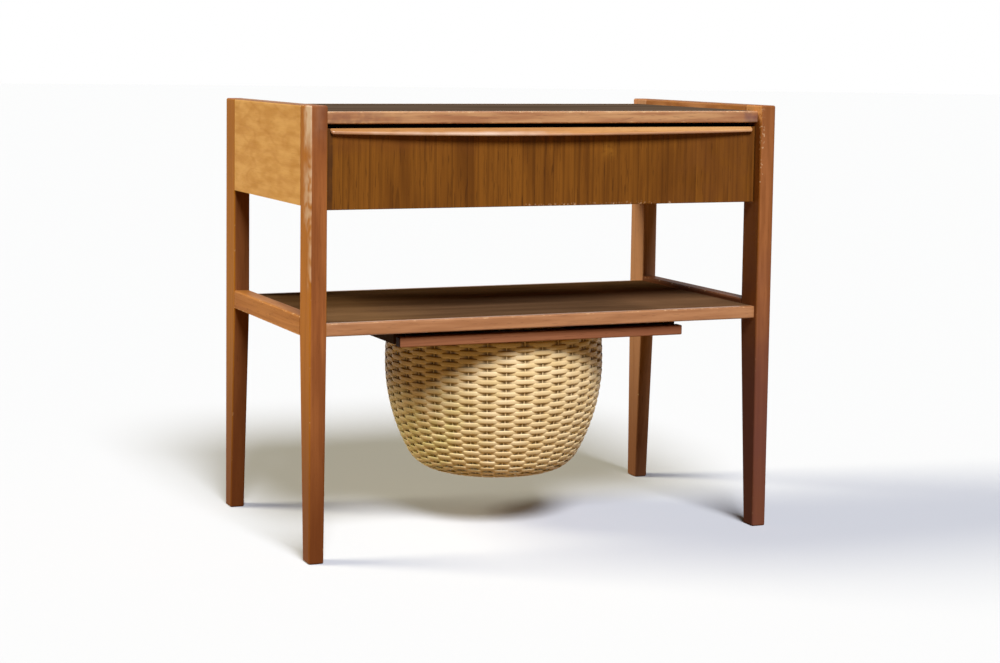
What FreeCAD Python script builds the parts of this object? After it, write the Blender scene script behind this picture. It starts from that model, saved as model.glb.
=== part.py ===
import FreeCAD, Part
import math
import os

# A small teak sewing table: a case with one drawer on four tapered legs, a low shelf,
# and a woven basket that slides out under the shelf.
# Millimetres. The feet stand on Z = 0, the front faces -Y, and X = 0 is the middle.

os.makedirs("parts", exist_ok=True)
Vector = FreeCAD.Vector

# Overall size
table_width = 596.0
table_depth = 336.0
table_height = 520.0

# Legs: straight outer faces, and inner faces that taper below the lower rails
leg_width = 20.0
leg_depth = 38.0
foot_width = 18.0
foot_depth = 23.0
leg_edge_round = 2.4
leg_top_round = 2.2
foot_edge_round = 2.0

# Case: side panels flush with the legs, a top sunk between them, and a back
case_height = 114.0
panel_top_round = 2.4
panel_tenon_thickness = 8.0
panel_tenon_height = 30.0
panel_tenon_length = 16.0
panel_tenon_shares = (0.27, 0.73)
top_sink = 7.0
top_thickness = 14.0
top_front_setback = 9.0
top_back_setback = 4.0
top_lipping_depth = 8.0
lipping_round = 2.0
back_thickness = 12.0
back_tongue = 6.0

# Lower rails: they stand above the shelf as a low raised edge
rail_underside = 258.0
rail_height = 22.0
rail_top_round = 2.5
rail_tenon_thickness = 8.0
rail_tenon_height = 14.0
rail_tenon_length = 18.0

# Shelf between the rails
shelf_rise = 16.0
shelf_thickness = 15.0
shelf_front_setback = 6.0
shelf_back_setback = 28.0
shelf_lipping_depth = 8.0

# Dowels that carry the top and the shelf
dowel_radius = 4.0
dowel_in_board = 13.0
dowel_in_side = 12.0
dowel_place_shares = (0.14, 0.5, 0.86)

# Drawer
drawer_front_setback = 12.0
drawer_front_thickness = 18.0
drawer_front_drop = 4.0
drawer_front_round = 0.8
drawer_top_gap = 5.0
drawer_side_gap = 1.5
drawer_side_thickness = 11.0
drawer_side_rise = 8.0
drawer_side_drop = 6.0
drawer_back_thickness = 10.0
drawer_rear_gap = 6.0
drawer_bottom_thickness = 4.0
drawer_bottom_rise = 6.0
drawer_bottom_groove = 5.0
front_tail_length = 12.0
tail_spread = 2.0
tail_tip_half = 6.2
front_tail_count = 4
back_tail_count = 3

# Pull: a thin lip with a bowed front edge, glued in a groove of the drawer front
pull_end_inset = 5.0
pull_end_reach = 5.0
pull_middle_reach = 11.6
pull_top_drop = 6.6
pull_edge_thickness = 3.6
pull_root_thickness = 5.0
pull_nose_share = 0.44
pull_end_round = 3.5
pull_tongue_length = 5.0
pull_tongue_thickness = 3.0

# Wooden drawer runners, in grooves of the drawer sides
drawer_runner_height = 12.0
drawer_runner_bite = 5.4
drawer_runner_front_gap = 20.0
drawer_runner_rear_gap = 2.0
drawer_runner_rise = 33.0
drawer_groove_floor_gap = 0.6

# Grooved basket runners under the shelf
basket_runner_gap = 48.0
basket_runner_thickness = 14.0
basket_runner_height = 16.0
basket_runner_front = 36.0
basket_runner_rear = 32.0
basket_groove_depth = 7.0

# Basket tray: a board with a round hole, behind a long front bar
bar_front_setback = 15.7
bar_thickness = 12.0
bar_top_gap = 5.8
bar_height = 11.7
bar_edge_round = 1.5
board_thickness = 5.0
board_headroom = 7.3
board_rear = 40.0
board_hole_inset = 11.6
board_tongue = 4.8

# Woven basket: a flat base, a side that bellies out and a slightly drawn-in mouth
basket_centre_y = -2.0
basket_depth = 183.7
basket_base_inset = 67.5
basket_corner_radius = 44.0
basket_widest_drop = 47.7
basket_side_setback = 32.0
basket_mouth_inset = 2.4
basket_wall = 8.0
rim_height = 8.0
rim_thickness = 9.6
rim_overhang = 1.0
rim_round = 2.5

# Screws: head radius, shank radius, head height and length
runner_screw = {"head": 3.4, "shank": 1.6, "cone": 2.2, "length": 17.0}
basket_runner_screw = {"head": 3.0, "shank": 1.6, "cone": 2.0, "length": 28.0}
rim_screw = {"head": 2.6, "shank": 1.2, "cone": 1.8, "length": 11.0}
bottom_screw = {"head": 2.8, "shank": 1.4, "cone": 1.8, "length": 14.0}
runner_screw_shares = (0.15, 0.85)
bottom_screw_shares = (-0.6, 0.0, 0.6)
rim_screw_count = 6

# Clearances, and one overrun for every cut
glue_gap = 0.1
slide_gap = 0.3
stop_gap = 0.3
overrun = 1.0

# Places worked out from the sizes above
half_width = table_width / 2
front_y = -table_depth / 2
back_y = table_depth / 2
side_in = half_width - leg_width
side_mid = half_width - leg_width / 2
leg_front_in = front_y + leg_depth
leg_back_in = back_y - leg_depth
top_surface = table_height - top_sink
top_underside = top_surface - top_thickness
top_front = front_y + top_front_setback
top_rear = back_y - top_back_setback
back_rear = back_y - top_back_setback
back_front = back_rear - back_thickness
rail_top = rail_underside + rail_height
shelf_height = rail_underside + shelf_rise
shelf_underside = shelf_height - shelf_thickness
shelf_front = front_y + shelf_front_setback
shelf_rear = back_y - shelf_back_setback
panel_underside = table_height - case_height
drawer_front_y = front_y + drawer_front_setback
drawer_front_rear = drawer_front_y + drawer_front_thickness
drawer_front_underside = panel_underside - drawer_front_drop
drawer_front_top = top_underside - drawer_top_gap
pull_nose_round = pull_edge_thickness * pull_nose_share
drawer_half = side_in - drawer_side_gap
drawer_inner_half = drawer_half - drawer_side_thickness
drawer_side_underside = drawer_front_underside + drawer_side_rise
drawer_side_top = drawer_front_top - drawer_side_drop
drawer_rear = back_front - drawer_rear_gap
drawer_back_front = drawer_rear - drawer_back_thickness
drawer_floor_low = drawer_side_underside + drawer_bottom_rise
drawer_floor_top = drawer_floor_low + drawer_bottom_thickness
drawer_runner_low = drawer_side_underside + drawer_runner_rise
drawer_runner_top = drawer_runner_low + drawer_runner_height
drawer_runner_front = drawer_front_rear + drawer_runner_front_gap
drawer_runner_rear = back_front - drawer_runner_rear_gap
drawer_runner_in = drawer_half - drawer_runner_bite
basket_widest_radius = table_depth / 2 - basket_side_setback
basket_base_radius = basket_widest_radius - basket_base_inset
basket_mouth_radius = basket_widest_radius - basket_mouth_inset
board_hole_radius = basket_mouth_radius - board_hole_inset
rim_outer_radius = basket_mouth_radius + rim_overhang
rim_inner_radius = rim_outer_radius - rim_thickness
basket_runner_offset = basket_widest_radius + basket_runner_gap
bar_front = front_y + bar_front_setback
bar_rear = bar_front + bar_thickness
bar_top = shelf_underside - bar_top_gap
bar_underside = bar_top - bar_height
board_top = shelf_underside - board_headroom
board_underside = board_top - board_thickness
board_rear_y = back_y - board_rear
basket_base_height = board_underside - basket_depth
basket_widest_height = board_underside - basket_widest_drop
basket_runner_in = basket_runner_offset - basket_runner_thickness
basket_runner_front_y = front_y + basket_runner_front
basket_runner_rear_y = back_y - basket_runner_rear
basket_runner_underside = shelf_underside - basket_runner_height
board_half = basket_runner_in + basket_groove_depth - slide_gap
rim_underside = board_underside - rim_height

pieces = {}


def box(x_low, x_high, y_low, y_high, z_low, z_high):
    corner = Vector(x_low, y_low, z_low)
    return Part.makeBox(x_high - x_low, y_high - y_low, z_high - z_low, corner)


def prism(outline, travel):
    wire = Part.makePolygon(outline + [outline[0]])
    return Part.Face(wire).extrude(travel)


def mirrored(shape, normal):
    return shape.mirror(Vector(0, 0, 0), normal)


def mirrored_x(shape):
    return mirrored(shape, Vector(1, 0, 0))


def mirrored_y(shape):
    return mirrored(shape, Vector(0, 1, 0))


def runs_along(edge, axis):
    middle = (edge.FirstParameter + edge.LastParameter) / 2
    return abs(edge.tangentAt(middle).dot(axis)) > 0.99


def lies_at(value, wanted):
    return abs(value - wanted) < glue_gap


def rounded(shape, radius, wanted):
    edges = [edge for edge in shape.Edges if wanted(edge)]
    return shape.makeFillet(radius, edges)


def turned_solid(outline):
    return Part.Face(Part.Wire(outline)).revolve(Vector(0, 0, 0), Vector(0, 0, 1), 360)


# A countersunk screw that points up from its head at the origin
def screw(size, gap):
    head = size["head"] + gap
    shank = size["shank"] + gap
    tip = size["length"] + gap
    corners = [Vector(0, 0, 0), Vector(head, 0, 0), Vector(shank, 0, size["cone"]), Vector(shank, 0, tip),
               Vector(0, 0, tip)]
    sides = [Part.makeLine(a, b) for a, b in zip(corners, corners[1:] + corners[:1])]
    return turned_solid(sides)


def placed(shape, place, direction):
    turn = FreeCAD.Rotation(Vector(0, 0, 1), direction)
    moved = shape.copy()
    moved.Placement = FreeCAD.Placement(place, turn)
    return moved


def screws_and_holes(size, places, direction):
    solids = [placed(screw(size, 0), place, direction) for place in places]
    holes = [placed(screw(size, glue_gap), place, direction) for place in places]
    return solids, holes


def cut_all(shape, tools):
    return shape.cut(tools) if tools else shape


def share_of(low, high, share):
    return low + (high - low) * share


# Legs

# A level rectangle with rounded corners
def rounded_outline(x_low, x_high, y_low, y_high, height, radius):
    centres = [(x_high - radius, y_low + radius), (x_high - radius, y_high - radius),
               (x_low + radius, y_high - radius), (x_low + radius, y_low + radius)]
    arcs = []
    for index, (centre_x, centre_y) in enumerate(centres):
        angles = [(index - 1 + step / 2) * math.pi / 2 for step in range(3)]
        points = [Vector(centre_x + radius * math.cos(angle), centre_y + radius * math.sin(angle), height)
                  for angle in angles]
        arcs.append(Part.Arc(*points).toShape())
    edges = []
    for arc, following in zip(arcs, arcs[1:] + arcs[:1]):
        edges.append(arc)
        edges.append(Part.makeLine(arc.lastVertex().Point, following.firstVertex().Point))
    return Part.Wire(edges)


# The front right leg, before its mortises: straight above the knee, tapered below
def leg_blank():
    knee = rounded_outline(side_in, half_width, front_y, leg_front_in, rail_underside, leg_edge_round)
    foot = rounded_outline(half_width - foot_width, half_width, front_y, front_y + foot_depth, 0,
                           leg_edge_round)
    tapered = Part.makeLoft([foot, knee], True, True)
    straight = Part.Face(knee).extrude(Vector(0, 0, table_height - rail_underside))
    leg = tapered.fuse(straight).removeSplitter()
    leg = rounded(leg, leg_top_round, lambda edge: lies_at(edge.BoundBox.ZMin, table_height))
    return rounded(leg, foot_edge_round, lambda edge: lies_at(edge.BoundBox.ZMax, 0))


# A tongue or mortise that crosses the plane Y = leg_front_in towards the front
def front_tenon(thickness, low, high, length, gap):
    half = thickness / 2 + gap
    return box(side_mid - half, side_mid + half, leg_front_in - length - gap,
               leg_front_in + gap, low - gap, high + gap)


def panel_tenons(gap):
    tenons = []
    for share in panel_tenon_shares:
        middle = share_of(panel_underside, table_height, share)
        low = middle - panel_tenon_height / 2
        high = middle + panel_tenon_height / 2
        tenons.append(front_tenon(panel_tenon_thickness, low, high, panel_tenon_length, gap))
    return tenons


def rail_tenon(gap):
    low = rail_underside + (rail_height - rail_tenon_height) / 2
    return front_tenon(rail_tenon_thickness, low, low + rail_tenon_height, rail_tenon_length, gap)


def back_groove():
    return box(side_in - overrun, side_in + back_tongue + glue_gap, back_front - glue_gap,
               back_rear + glue_gap, panel_underside - glue_gap, top_underside + glue_gap)


def make_legs():
    front = cut_all(leg_blank(), panel_tenons(glue_gap) + [rail_tenon(glue_gap)])
    back = mirrored_y(front).cut(back_groove())
    pieces["leg_front_right"] = front
    pieces["leg_front_left"] = mirrored_x(front)
    pieces["leg_back_right"] = back
    pieces["leg_back_left"] = mirrored_x(back)


# Case

# Dowels along X that join a board's end at side_in to the piece beside it
def end_dowels(y_low, y_high, height, gap):
    places = [Vector(side_in - dowel_in_board - gap, share_of(y_low, y_high, share), height)
              for share in dowel_place_shares]
    length = dowel_in_board + dowel_in_side + 2 * gap
    return [Part.makeCylinder(dowel_radius + gap, length, place, Vector(1, 0, 0)) for place in places]


def both_sides(shapes):
    return shapes + [mirrored_x(shape) for shape in shapes]


def top_dowels(gap):
    return end_dowels(top_front, top_rear, top_underside + top_thickness / 2, gap)


def shelf_dowels(gap):
    return end_dowels(shelf_front, shelf_rear, shelf_underside + shelf_thickness / 2, gap)


def make_side_panels():
    panel = box(side_in, half_width, leg_front_in, leg_back_in, panel_underside, table_height)
    panel = rounded(panel, panel_top_round, lambda edge: runs_along(edge, Vector(0, 1, 0))
                    and lies_at(edge.BoundBox.ZMin, table_height))
    front_tenons = panel_tenons(0)
    panel = panel.fuse(front_tenons + [mirrored_y(tenon) for tenon in front_tenons]).removeSplitter()
    panel = cut_all(panel, top_dowels(glue_gap) + drawer_runner_screws()[1])
    pieces["side_panel_right"] = panel
    pieces["side_panel_left"] = mirrored_x(panel)


def make_back():
    pieces["back_panel"] = box(-side_in - back_tongue, side_in + back_tongue, back_front, back_rear,
                               panel_underside, top_underside)


# A veneered board between a front and a back lipping
def lipped_board(name, front, rear, low, high, depth, dowels):
    middle = box(-side_in, side_in, front + depth, rear - depth, low, high)
    first = box(-side_in, side_in, front, front + depth, low, high)
    last = box(-side_in, side_in, rear - depth, rear, low, high)
    holes = both_sides(dowels)
    along = Vector(1, 0, 0)
    first = rounded(first, lipping_round, lambda edge: runs_along(edge, along)
                    and lies_at(edge.BoundBox.YMin, front))
    last = rounded(last, lipping_round, lambda edge: runs_along(edge, along)
                   and lies_at(edge.BoundBox.YMax, rear))
    pieces[name + "_panel"] = cut_all(middle, holes)
    pieces[name + "_front_lipping"] = first
    pieces[name + "_back_lipping"] = last


def make_top():
    lipped_board("top", top_front, top_rear, top_underside, top_surface, top_lipping_depth,
                 top_dowels(glue_gap))
    pieces["top_dowels"] = Part.makeCompound(both_sides(top_dowels(0)))


# Lower rails and shelf

def make_rails():
    rail = box(side_in, half_width, leg_front_in, leg_back_in, rail_underside, rail_top)
    rail = rounded(rail, rail_top_round, lambda edge: runs_along(edge, Vector(0, 1, 0))
                   and lies_at(edge.BoundBox.ZMin, rail_top))
    rail = rail.fuse([rail_tenon(0), mirrored_y(rail_tenon(0))]).removeSplitter()
    rail = cut_all(rail, shelf_dowels(glue_gap))
    pieces["lower_rail_right"] = rail
    pieces["lower_rail_left"] = mirrored_x(rail)


def make_shelf():
    lipped_board("shelf", shelf_front, shelf_rear, shelf_underside, shelf_height,
                 shelf_lipping_depth, shelf_dowels(glue_gap))
    pieces["shelf_panel"] = cut_all(pieces["shelf_panel"], both_sides(basket_runner_screws()[1]))
    pieces["shelf_dowels"] = Part.makeCompound(both_sides(shelf_dowels(0)))


# Drawer

# A dovetail across the drawer side, wider at its tip, reaching from y_root to y_tip
def tail(y_root, y_tip, height, gap):
    towards_tip = math.copysign(gap, y_tip - y_root)
    tip_half = tail_tip_half + gap
    root_half = tip_half - tail_spread
    outline = [
        Vector(drawer_inner_half - gap, y_root, height - root_half),
        Vector(drawer_inner_half - gap, y_tip + towards_tip, height - tip_half),
        Vector(drawer_inner_half - gap, y_tip + towards_tip, height + tip_half),
        Vector(drawer_inner_half - gap, y_root, height + root_half),
    ]
    return prism(outline, Vector(drawer_side_thickness + gap, 0, 0))


def tail_row(y_root, y_tip, low, high, count, gap):
    heights = [share_of(low, high, (index + 0.5) / count) for index in range(count)]
    return [tail(y_root, y_tip, height, gap) for height in heights]


def front_tails(gap):
    return tail_row(drawer_front_rear, drawer_front_rear - front_tail_length,
                    drawer_side_underside, drawer_side_top, front_tail_count, gap)


def back_tails(gap):
    return tail_row(drawer_back_front, drawer_rear, drawer_floor_top, drawer_side_top,
                    back_tail_count, gap)


def drawer_runner_groove():
    return box(drawer_runner_in - drawer_groove_floor_gap, drawer_half + overrun,
               drawer_runner_front - stop_gap, drawer_rear + overrun,
               drawer_runner_low - slide_gap, drawer_runner_top + slide_gap)


def drawer_floor_groove():
    return box(drawer_inner_half - overrun, drawer_inner_half + drawer_bottom_groove,
               drawer_front_rear - front_tail_length - overrun, drawer_rear + overrun,
               drawer_floor_low - glue_gap, drawer_floor_top + glue_gap)


def make_drawer_sides():
    side = box(drawer_inner_half, drawer_half, drawer_front_rear, drawer_back_front,
               drawer_side_underside, drawer_side_top)
    heel = box(drawer_inner_half, drawer_half, drawer_back_front, drawer_rear,
               drawer_side_underside, drawer_floor_top - glue_gap)
    side = side.fuse([heel] + front_tails(0) + back_tails(0)).removeSplitter()
    side = side.cut([drawer_runner_groove(), drawer_floor_groove()])
    pieces["drawer_side_right"] = side
    pieces["drawer_side_left"] = mirrored_x(side)


def make_drawer_front():
    front = box(-drawer_half, drawer_half, drawer_front_y, drawer_front_rear,
                drawer_front_underside, drawer_front_top)
    front = rounded(front, drawer_front_round, lambda edge: lies_at(edge.BoundBox.YMax, drawer_front_y))
    floor_slot = box(-drawer_inner_half, drawer_inner_half, drawer_front_rear - drawer_bottom_groove,
                     drawer_front_rear + overrun, drawer_floor_low - glue_gap,
                     drawer_floor_top + glue_gap)
    sockets = both_sides(front_tails(glue_gap))
    pieces["drawer_front"] = front.cut(sockets + [floor_slot, pull_tongue(glue_gap)])


def make_drawer_back():
    board = box(-drawer_half, drawer_half, drawer_back_front, drawer_rear, drawer_floor_top,
                drawer_side_top)
    cuts = both_sides(back_tails(glue_gap) + [drawer_runner_groove()])
    screws, holes = drawer_bottom_screws()
    pieces["drawer_back"] = board.cut(cuts + holes)
    pieces["drawer_bottom_screws"] = Part.makeCompound(screws)


def make_drawer_bottom():
    half = drawer_inner_half + drawer_bottom_groove - glue_gap
    inside = drawer_inner_half - glue_gap
    front = drawer_front_rear - drawer_bottom_groove + glue_gap
    floor = box(-half, half, drawer_front_rear + glue_gap, drawer_rear, drawer_floor_low,
                drawer_floor_top)
    tongue = box(-inside, inside, front, drawer_front_rear + overrun, drawer_floor_low,
                 drawer_floor_top)
    floor = floor.fuse(tongue).removeSplitter()
    pieces["drawer_bottom"] = cut_all(floor, drawer_bottom_screws()[1])


def drawer_bottom_screws():
    middle = (drawer_back_front + drawer_rear) / 2
    places = [Vector(drawer_inner_half * share, middle, drawer_floor_low)
              for share in bottom_screw_shares]
    return screws_and_holes(bottom_screw, places, Vector(0, 0, 1))


# Pull lip

def pull_tongue(gap):
    middle = drawer_front_top - pull_root_thickness / 2
    half = pull_tongue_thickness / 2 + gap
    reach = drawer_half - pull_end_inset + gap
    return box(-reach, reach, drawer_front_y - gap, drawer_front_y + pull_tongue_length + gap,
               middle - half, middle + half)


# The lip's section runs past its tip, so that the bowed plan cuts the whole front edge
def make_pull():
    reach = drawer_half - pull_end_inset
    section_reach = pull_middle_reach + overrun
    top_fall = pull_top_drop / pull_middle_reach * section_reach
    root_low = drawer_front_top - pull_root_thickness
    tip_low = drawer_front_top - pull_top_drop - pull_edge_thickness
    low_fall = (root_low - tip_low) / pull_middle_reach * section_reach
    section = [
        Vector(-reach, drawer_front_y, drawer_front_top),
        Vector(-reach, drawer_front_y - section_reach, drawer_front_top - top_fall),
        Vector(-reach, drawer_front_y - section_reach, root_low - low_fall),
        Vector(-reach, drawer_front_y, root_low),
    ]
    bar = prism(section, Vector(2 * reach, 0, 0))
    left_end = Vector(-reach, drawer_front_y - pull_end_reach, drawer_front_underside)
    right_end = Vector(reach, drawer_front_y - pull_end_reach, drawer_front_underside)
    bow_tip = Vector(0, drawer_front_y - pull_middle_reach, drawer_front_underside)
    left_root = Vector(-reach, drawer_front_y, drawer_front_underside)
    right_root = Vector(reach, drawer_front_y, drawer_front_underside)
    bow = Part.Arc(left_end, bow_tip, right_end).toShape()
    rest = [(right_end, right_root), (right_root, left_root), (left_root, left_end)]
    plan = Part.Wire([bow] + [Part.makeLine(a, b) for a, b in rest])
    height = drawer_front_top - drawer_front_underside
    lip = bar.common(Part.Face(plan).extrude(Vector(0, 0, height)))
    stands_out = drawer_front_y - glue_gap
    lip = rounded(lip, pull_end_round, lambda edge: runs_along(edge, Vector(0, 0, 1))
                  and edge.BoundBox.YMax < stands_out)
    lip = rounded(lip, pull_nose_round, lambda edge: edge.BoundBox.XLength > reach
                  and edge.BoundBox.YMax < stands_out)
    tongue = pull_tongue(0)
    pieces["drawer_pull_lip"] = lip.fuse(tongue).removeSplitter()


# Drawer runners

def drawer_runner_screws():
    head_x = drawer_runner_in
    height = (drawer_runner_low + drawer_runner_top) / 2
    places = [Vector(head_x, share_of(drawer_runner_front, drawer_runner_rear, share), height)
              for share in runner_screw_shares]
    return screws_and_holes(runner_screw, places, Vector(1, 0, 0))


def make_drawer_runners():
    runner = box(drawer_runner_in, side_in, drawer_runner_front, drawer_runner_rear,
                 drawer_runner_low, drawer_runner_top)
    screws, holes = drawer_runner_screws()
    runner = cut_all(runner, holes)
    pieces["drawer_runner_right"] = runner
    pieces["drawer_runner_left"] = mirrored_x(runner)
    pieces["drawer_runner_screws"] = Part.makeCompound(both_sides(screws))


# Basket runners

def basket_runner_screws():
    web = basket_runner_thickness - basket_groove_depth
    x_place = basket_runner_offset - web / 2
    places = [Vector(x_place, share_of(basket_runner_front_y, basket_runner_rear_y, share),
                     basket_runner_underside) for share in runner_screw_shares]
    return screws_and_holes(basket_runner_screw, places, Vector(0, 0, 1))


def make_basket_runners():
    runner = box(basket_runner_in, basket_runner_offset, basket_runner_front_y,
                 basket_runner_rear_y, basket_runner_underside, shelf_underside)
    groove = box(basket_runner_in - overrun, basket_runner_in + basket_groove_depth,
                 basket_runner_front_y - overrun, board_rear_y + stop_gap,
                 board_underside - slide_gap, board_top + slide_gap)
    screws, holes = basket_runner_screws()
    runner = runner.cut([groove] + holes)
    pieces["basket_runner_right"] = runner
    pieces["basket_runner_left"] = mirrored_x(runner)
    pieces["basket_runner_screws"] = Part.makeCompound(both_sides(screws))


# Basket tray

def rim_screws():
    radius = (rim_inner_radius + rim_outer_radius) / 2
    places = []
    for index in range(rim_screw_count):
        angle = 2 * math.pi * (index + 0.5) / rim_screw_count
        places.append(Vector(radius * math.cos(angle), basket_centre_y + radius * math.sin(angle),
                             board_top))
    return screws_and_holes(rim_screw, places, Vector(0, 0, -1))


def make_basket_board():
    tongue_front = bar_rear - board_tongue
    board = box(-board_half, board_half, bar_rear, board_rear_y, board_underside, board_top)
    tongue = box(-board_half, board_half, tongue_front, bar_rear + overrun, board_underside, board_top)
    board = board.fuse(tongue).removeSplitter()
    centre = Vector(0, basket_centre_y, board_underside - overrun)
    hole = Part.makeCylinder(board_hole_radius, board_thickness + 2 * overrun, centre)
    pieces["basket_board"] = board.cut([hole] + rim_screws()[1])


def make_basket_bar():
    bar = box(-basket_runner_offset, basket_runner_offset, bar_front, bar_rear, bar_underside, bar_top)
    bar = rounded(bar, bar_edge_round, lambda edge: not lies_at(edge.BoundBox.YMin, bar_rear))
    slot = box(-board_half - glue_gap, board_half + glue_gap, bar_rear - board_tongue - glue_gap,
               bar_rear + overrun, board_underside - glue_gap, board_top + glue_gap)
    pieces["basket_front_bar"] = bar.cut(slot)


# An arc in the plane Y = 0, from one angle about its centre to another
def flat_arc(centre, radius, first, last):
    points = [centre + Vector(math.cos(angle), 0, math.sin(angle)) * radius
              for angle in (first, (first + last) / 2, last)]
    return Part.Arc(*points).toShape()


# The basket's side, inset from its outer face: a tight arc round the base, a long one up to the
# widest place, and one that draws in to the mouth, each tangent to the next
def basket_side(inset):
    corner = basket_corner_radius
    rise = basket_widest_height - basket_base_height
    reach = basket_widest_radius - basket_base_radius
    flank = ((rise - corner) ** 2 + reach ** 2 - corner ** 2) / (2 * (reach - corner))
    corner_centre = Vector(basket_base_radius, 0, basket_base_height + corner)
    flank_centre = Vector(basket_widest_radius - flank, 0, basket_widest_height)
    towards_join = corner_centre - flank_centre
    join_angle = math.atan2(towards_join.z, towards_join.x)
    mouth_rise = rim_underside - basket_widest_height
    draw_in = basket_widest_radius - basket_mouth_radius
    mouth = (mouth_rise ** 2 + draw_in ** 2) / (2 * draw_in)
    mouth_centre = Vector(basket_widest_radius - mouth, 0, basket_widest_height)
    mouth_angle = math.asin(mouth_rise / (mouth - inset))
    return [
        flat_arc(corner_centre, corner - inset, -math.pi / 2, join_angle),
        flat_arc(flank_centre, flank - inset, join_angle, 0),
        flat_arc(mouth_centre, mouth - inset, 0, mouth_angle),
    ]


def make_basket():
    outer = basket_side(0)
    inner = basket_side(basket_wall)
    outer_pole = Vector(0, 0, basket_base_height)
    inner_pole = Vector(0, 0, basket_base_height + basket_wall)
    joins = [(outer_pole, outer[0].firstVertex().Point), (inner_pole, inner[0].firstVertex().Point),
             (outer[-1].lastVertex().Point, inner[-1].lastVertex().Point), (outer_pole, inner_pole)]
    outline = outer + inner + [Part.makeLine(a, b) for a, b in joins]
    body = turned_solid(Part.sortEdges(outline)[0])
    body.translate(Vector(0, basket_centre_y, 0))
    pieces["basket_body"] = body


def make_rim():
    corners = [Vector(rim_inner_radius, 0, rim_underside), Vector(rim_outer_radius, 0, rim_underside),
               Vector(rim_outer_radius, 0, board_underside), Vector(rim_inner_radius, 0, board_underside)]
    sides = [Part.makeLine(a, b) for a, b in zip(corners, corners[1:] + corners[:1])]
    rim = turned_solid(sides)
    rim = rounded(rim, rim_round, lambda edge: lies_at(edge.BoundBox.ZMax, board_underside)
                  and edge.BoundBox.XLength > 2 * board_hole_radius
                  and lies_at(edge.BoundBox.XMax, rim_outer_radius))
    rim.translate(Vector(0, basket_centre_y, 0))
    screws, holes = rim_screws()
    pieces["basket_rim"] = rim.cut(holes)
    pieces["basket_rim_screws"] = Part.makeCompound(screws)


make_legs()
make_side_panels()
make_back()
make_top()
make_rails()
make_shelf()
make_drawer_front()
make_pull()
make_drawer_sides()
make_drawer_back()
make_drawer_bottom()
make_drawer_runners()
make_basket_runners()
make_basket_board()
make_basket_bar()
make_basket()
make_rim()

for name, shape in sorted(pieces.items()):
    solids = shape.Solids
    solid_or_group = solids[0] if len(solids) == 1 else Part.makeCompound(solids)
    solid_or_group.exportStep("parts/" + name + ".step")
    print(name, len(solids), "solids", round(solid_or_group.Volume), "mm3", solid_or_group.isValid())
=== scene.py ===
import math

import bpy
from mathutils import Matrix, Vector


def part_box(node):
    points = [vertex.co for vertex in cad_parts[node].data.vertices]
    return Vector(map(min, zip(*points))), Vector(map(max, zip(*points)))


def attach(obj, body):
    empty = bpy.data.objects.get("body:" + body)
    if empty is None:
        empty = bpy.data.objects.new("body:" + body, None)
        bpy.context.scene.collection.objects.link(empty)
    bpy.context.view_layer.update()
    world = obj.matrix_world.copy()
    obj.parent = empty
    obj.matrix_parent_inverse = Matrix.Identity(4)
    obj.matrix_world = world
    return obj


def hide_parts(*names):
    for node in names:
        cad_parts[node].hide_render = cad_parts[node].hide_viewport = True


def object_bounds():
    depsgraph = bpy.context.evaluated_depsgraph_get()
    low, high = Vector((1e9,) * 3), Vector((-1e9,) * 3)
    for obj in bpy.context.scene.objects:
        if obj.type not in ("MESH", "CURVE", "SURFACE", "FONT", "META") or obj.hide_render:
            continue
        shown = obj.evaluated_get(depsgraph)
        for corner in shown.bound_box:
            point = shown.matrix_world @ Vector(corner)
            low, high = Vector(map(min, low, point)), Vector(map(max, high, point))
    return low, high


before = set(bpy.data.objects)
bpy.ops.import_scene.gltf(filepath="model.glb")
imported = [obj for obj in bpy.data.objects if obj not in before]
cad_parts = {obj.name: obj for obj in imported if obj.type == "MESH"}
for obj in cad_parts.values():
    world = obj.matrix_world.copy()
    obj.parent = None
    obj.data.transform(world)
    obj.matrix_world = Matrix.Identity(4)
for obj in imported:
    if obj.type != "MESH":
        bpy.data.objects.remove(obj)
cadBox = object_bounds()
mm = 0.001
smooth = {"interpolation_type": "SMOOTHSTEP"}
noiseMiddle = 0.5   # a noise texture's values lie about this
# a Mix node's colour sockets by their place, since its number sockets have the same names
mixShare, mixUnder, mixOver, mixed = 0, 6, 7, 2


def addNode(tree, kind, inputs=(), output=0, **settings):
    # one node: its settings by name, and its inputs as plain values or as sockets to link;
    # gives back the output asked for, or all of them for None
    node = tree.nodes.new(kind)
    for key, value in settings.items():
        setattr(node, key, value)
    for key, value in inputs.items() if isinstance(inputs, dict) else enumerate(inputs):
        if isinstance(value, bpy.types.NodeSocket):
            tree.links.new(value, node.inputs[key])
        elif value is not None:
            node.inputs[key].default_value = value
    return node.outputs if output is None or not len(node.outputs) else node.outputs[output]


def linear(hexCode):
    # an sRGB hex colour as linear RGBA
    shares = [int(hexCode[i:i + 2], 16) / 255 for i in (1, 3, 5)]
    return [s / 12.92 if s <= 0.04045 else ((s + 0.055) / 1.055) ** 2.4 for s in shares] + [1.0]


def newMaterial(name):
    material = bpy.data.materials.new(name)
    material.use_nodes = True
    material.node_tree.nodes.clear()
    return material, material.node_tree


def dress(node, material):
    # gives a CAD node this one material
    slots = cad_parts[node].data.materials
    slots.clear()
    slots.append(material)


# Camera: the photograph's standpoint, left of the front and a little above the top

photoCamera = {
    "place": (-1.0275, -2.3364, 0.5826),    # metres
    "turn": 21.893,         # degrees from the +Y axis towards +X
    "tilt": 5.342,          # degrees below level
    "roll": 0.612,          # degrees
    "focalWidths": 2.0547,  # focal length in picture widths
    "shift": (0.0716, -0.0892),
    "sensor": 36.0,         # mm
    "nearest": 0.05,        # metres
}


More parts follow.
